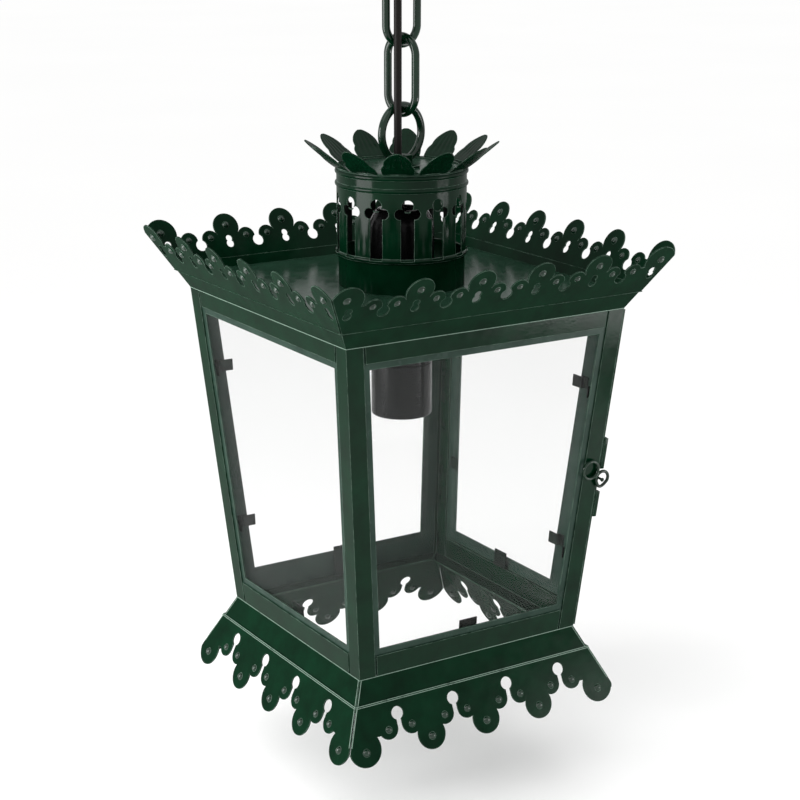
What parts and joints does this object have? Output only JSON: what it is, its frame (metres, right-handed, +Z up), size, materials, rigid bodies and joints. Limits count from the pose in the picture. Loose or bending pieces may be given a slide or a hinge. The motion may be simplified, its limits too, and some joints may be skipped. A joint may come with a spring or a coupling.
{
  "type": "hanging outdoor lantern",
  "caption": "Tapering glazed lantern of folded sheet with a scalloped skirt, a pierced gallery, a slotted chimney and a petal crown, hung on a chain.",
  "frame": {"origin": "ceiling face, midway between the two fixing screws and on the hanging axis", "axes": "+Z up into the ceiling, -X -Y is the corner towards the picture's camera, +X the door"},
  "size_m": [0.2678, 0.2678, 0.5436],
  "materials": {
    "paint": "dark green gloss paint over folded sheet",
    "glass": "clear float glass",
    "cable": "black sheath",
    "holder": "black moulded",
    "insulator": "white insulator",
    "shell": "pressed",
    "clips": "dark bent tabs",
    "steel": "zinc plated"
  },
  "bodies": {
    "ceiling": {"ceiling_strap": "steel", "ceiling_hook": "paint", "ceiling_canopy": "paint", "canopy_collar": "paint"},
    "link_upper": {"chain_link_upper": "paint"},
    "link_lower": {"chain_link_lower": "paint"},
    "ring": {"hanging_ring": "paint"},
    "lantern": {"bottom_rail_front": "paint", "bottom_rail_left": "paint", "bottom_rail_rear": "paint", "bottom_rail_right": "paint", "cap_disc": "paint", "cap_grommet": "cable", "chimney": "paint", "chimney_collar": "paint", "contact_block": "insulator", "cord_grip": "holder", "corner_post_back": "paint", "corner_post_front": "paint", "corner_post_left": "paint", "corner_post_right": "paint", "cornice_band": "paint", "gallery_strip_front": "paint", "gallery_strip_left": "paint", "gallery_strip_rear": "paint", "gallery_strip_right": "paint", "glass_clips": "clips", "glass_pane_front": "glass", "glass_pane_left": "glass", "glass_pane_rear": "glass", "glazing_frame_front": "paint", "glazing_frame_left": "paint", "glazing_frame_rear": "paint", "hanging_loop": "paint", "hinge_pins": "steel", "hinge_post_leaves": "paint", "lamp_bridge": "steel", "lamp_nipple": "steel", "lampholder_cap": "holder", "lampholder_sleeve": "holder", "petal_crown": "paint", "roof_plate": "paint", "screw_shell": "shell", "skirt_band": "paint", "skirt_strip_front": "paint", "skirt_strip_left": "paint", "skirt_strip_rear": "paint", "skirt_strip_right": "paint", "supply_cable": "cable", "top_rail_front": "paint", "top_rail_left": "paint", "top_rail_rear": "paint", "top_rail_right": "paint"},
    "door": {"door_frame": "paint", "door_glazing_frame": "paint", "door_glass": "glass", "door_clips": "clips", "hinge_door_leaves": "paint", "latch_plate": "paint"},
    "latch": {"latch_wire": "paint"}
  },
  "joints": [
    {"name": "hook_swing", "type": "hinge", "parent": "ceiling", "child": "link_upper", "pos_m": [0, 0, -0.05], "axis": [-0.0523, 0.9986, 0], "range_deg": [-30, 30], "deforming": ["supply_cable"]},
    {"name": "link_swing", "type": "hinge", "parent": "link_upper", "child": "link_lower", "pos_m": [0, 0, -0.0947], "axis": [0.9986, 0.0523, 0], "range_deg": [-30, 30], "deforming": ["supply_cable"]},
    {"name": "ring_swing", "type": "hinge", "parent": "link_lower", "child": "ring", "pos_m": [0, 0, -0.1394], "axis": [0.2588, -0.9659, 0], "range_deg": [-30, 30], "deforming": ["supply_cable"]},
    {"name": "loop_swing", "type": "hinge", "parent": "ring", "child": "lantern", "pos_m": [0, 0, -0.1706], "axis": [0.9781, 0.2079, 0], "range_deg": [-25, 25], "deforming": ["supply_cable"]},
    {"name": "door_hinge", "type": "hinge", "parent": "lantern", "child": "door", "pos_m": [0.09966, 0.09227, -0.37871], "axis": [0.0838, 0.0838, 0.993], "range_deg": [0, 110]},
    {"name": "latch_turn", "type": "hinge", "parent": "door", "child": "latch", "pos_m": [0.09793, -0.09693, -0.38249], "axis": [0, -0.9965, -0.084], "range_deg": [-100, 0]}
  ]
}
